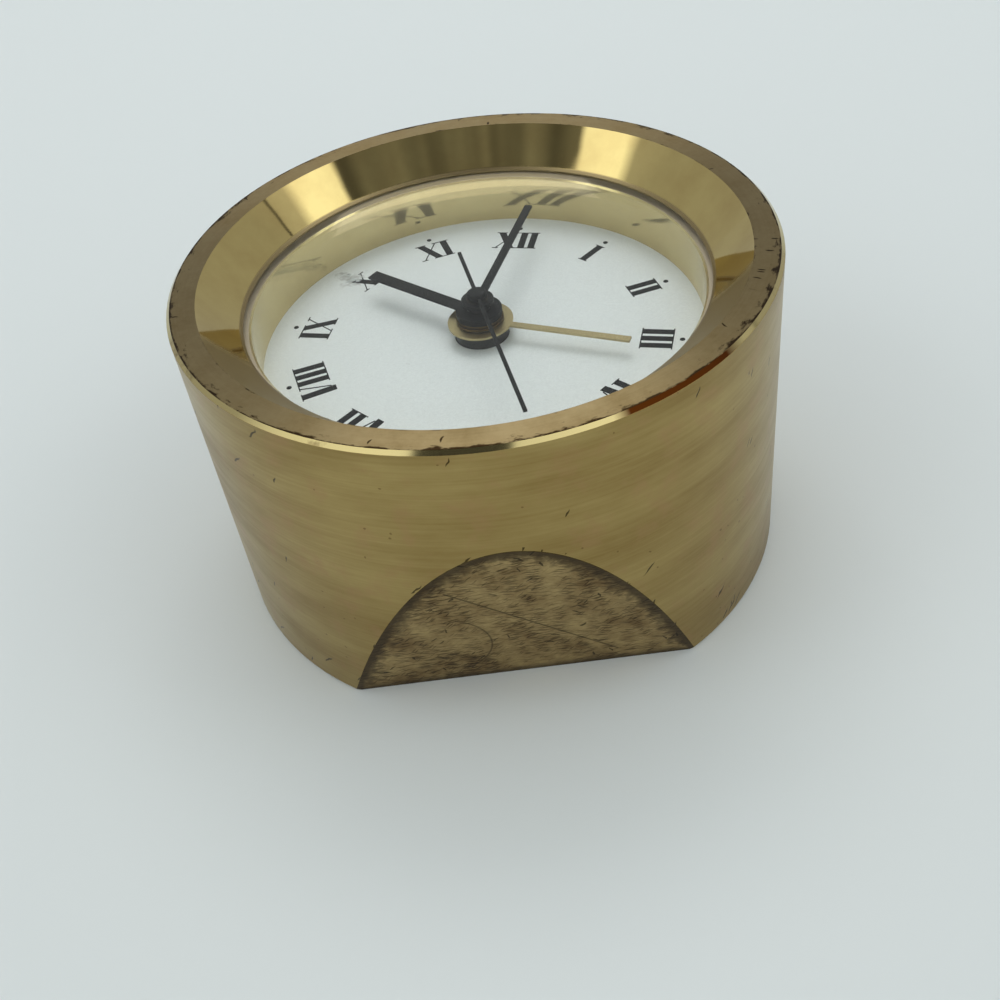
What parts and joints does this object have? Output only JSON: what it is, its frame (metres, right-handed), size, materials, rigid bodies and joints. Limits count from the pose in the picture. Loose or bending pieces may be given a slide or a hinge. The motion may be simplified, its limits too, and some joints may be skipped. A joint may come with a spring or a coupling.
{
  "type": "desk alarm clock",
  "caption": "Heavy round brass desk alarm clock with a slanted foot flat, polished cone round a white Roman dial, baton hands and recessed setting knobs at the back.",
  "frame": {"origin": "centre of the case's back rim, which the clock lies on in the picture", "axes": "+Z out of the dial along the case axis; the slanted foot flat faces -Y; +X to the right seen from the front"},
  "size_m": [0.08, 0.08, 0.046],
  "materials": {
    "case_brass": "satin turned, lacquered, worn",
    "ring_brass": "polished",
    "glass": "polished",
    "dial_ring_gold": "gold, polished",
    "dial_white": "matt",
    "black_plastic": "moulded",
    "white_plastic": "moulded",
    "wheel_plastic": "moulded",
    "slide_plastic": "moulded",
    "screw_steel": "plated",
    "motor_iron": "stamped",
    "copper_wire": "enamelled copper wire",
    "board": "laminate",
    "chip_black": "moulded",
    "crystal_steel": "drawn can",
    "buzzer_brass": "rolled",
    "contact_brass": "nickel plated",
    "cell_steel": "printed steel can",
    "magnet": "sintered",
    "tube_brass": "turned",
    "hand_black": "satin black",
    "alarm_gold": "gilt"
  },
  "bodies": {
    "clock": {"brass_case": "case_brass", "cone_ring": "ring_brass", "glass": "glass", "dial_ring": "dial_ring_gold", "dial": "dial_white", "front_plate": "black_plastic", "plate_screws": "screw_steel", "rear_housing": "black_plastic", "train_plate": "white_plastic", "stator": "motor_iron", "coil_core": "motor_iron", "coil_bobbin": "white_plastic", "coil_winding": "copper_wire", "circuit_board": "board", "clock_chip": "chip_black", "quartz_crystal": "crystal_steel", "buzzer_disc": "buzzer_brass", "alarm_leaf": "contact_brass", "cell": "cell_steel", "minus_contact": "contact_brass", "plus_contact": "contact_brass"},
    "seconds": {"second_wheel": "wheel_plastic", "second_hand": "hand_black"},
    "third": {"third_wheel": "wheel_plastic"},
    "centre": {"centre_wheel": "wheel_plastic"},
    "intermediate": {"intermediate_wheel": "wheel_plastic"},
    "rotor": {"rotor": "magnet"},
    "minutes": {"cannon_pinion": "tube_brass", "minute_hand": "hand_black"},
    "motion": {"minute_wheel": "wheel_plastic"},
    "hours": {"hour_wheel": "wheel_plastic", "hour_collet": "tube_brass", "hour_hand": "hand_black"},
    "alarm": {"alarm_wheel": "wheel_plastic", "alarm_hand": "alarm_gold"},
    "time_setting": {"time_shaft": "wheel_plastic", "time_knob": "black_plastic"},
    "alarm_setting": {"alarm_shaft": "wheel_plastic", "alarm_knob": "black_plastic"},
    "door": {"battery_door": "black_plastic"},
    "slide": {"alarm_slide": "slide_plastic"}
  },
  "joints": [
    {"name": "seconds_turn", "type": "hinge", "parent": "clock", "child": "seconds", "pos_m": [0, 0, 0.025], "axis": [0, 0, 1], "continuous": true},
    {"name": "third_turn", "type": "hinge", "parent": "clock", "child": "third", "pos_m": [-0.00866, 0.00244, 0.025], "axis": [0, 0, 1], "continuous": true},
    {"name": "centre_turn", "type": "hinge", "parent": "clock", "child": "centre", "pos_m": [0, 0, 0.025], "axis": [0, 0, 1], "continuous": true},
    {"name": "intermediate_turn", "type": "hinge", "parent": "clock", "child": "intermediate", "pos_m": [0.00735, -0.00009, 0.025], "axis": [0, 0, 1], "continuous": true},
    {"name": "rotor_turn", "type": "hinge", "parent": "clock", "child": "rotor", "pos_m": [0.01277, -0.00331, 0.025], "axis": [0, 0, 1], "continuous": true},
    {"name": "time_knob_turn", "type": "hinge", "parent": "clock", "child": "time_setting", "pos_m": [0.01678, 0.00428, 0.025], "axis": [0, 0, 1], "continuous": true},
    {"name": "minutes_turn", "type": "hinge", "parent": "clock", "child": "minutes", "pos_m": [0, 0, 0.025], "axis": [0, 0, 1], "continuous": true},
    {"name": "motion_turn", "type": "hinge", "parent": "clock", "child": "motion", "pos_m": [0.00716, 0.00698, 0.025], "axis": [0, 0, 1], "continuous": true},
    {"name": "hours_turn", "type": "hinge", "parent": "clock", "child": "hours", "pos_m": [0, 0, 0.025], "axis": [0, 0, 1], "continuous": true},
    {"name": "alarm_knob_turn", "type": "hinge", "parent": "clock", "child": "alarm_setting", "pos_m": [-0.01208, 0.01238, 0.025], "axis": [0, 0, 1], "continuous": true},
    {"name": "alarm_turn", "type": "hinge", "parent": "clock", "child": "alarm", "pos_m": [0, 0, 0.025], "axis": [0, 0, 1], "continuous": true},
    {"name": "alarm_slide_move", "type": "slide", "parent": "clock", "child": "slide", "axis": [0.9627, -0.2706, 0], "range_m": [0, 0.003]},
    {"name": "door_lift", "type": "slide", "parent": "clock", "child": "door", "axis": [0, 0, -1], "range_m": [0, 0.02]}
  ],
  "couplings": [
    {"joint": "third_turn", "follows": "seconds_turn", "ratio": -0.125},
    {"joint": "centre_turn", "follows": "seconds_turn", "ratio": 0.016667},
    {"joint": "intermediate_turn", "follows": "seconds_turn", "ratio": -6},
    {"joint": "rotor_turn", "follows": "seconds_turn", "ratio": 30},
    {"joint": "minutes_turn", "follows": "time_knob_turn", "ratio": 1},
    {"joint": "motion_turn", "follows": "time_knob_turn", "ratio": -0.33333},
    {"joint": "hours_turn", "follows": "time_knob_turn", "ratio": 0.083333},
    {"joint": "alarm_turn", "follows": "alarm_knob_turn", "ratio": -0.5}
  ]
}
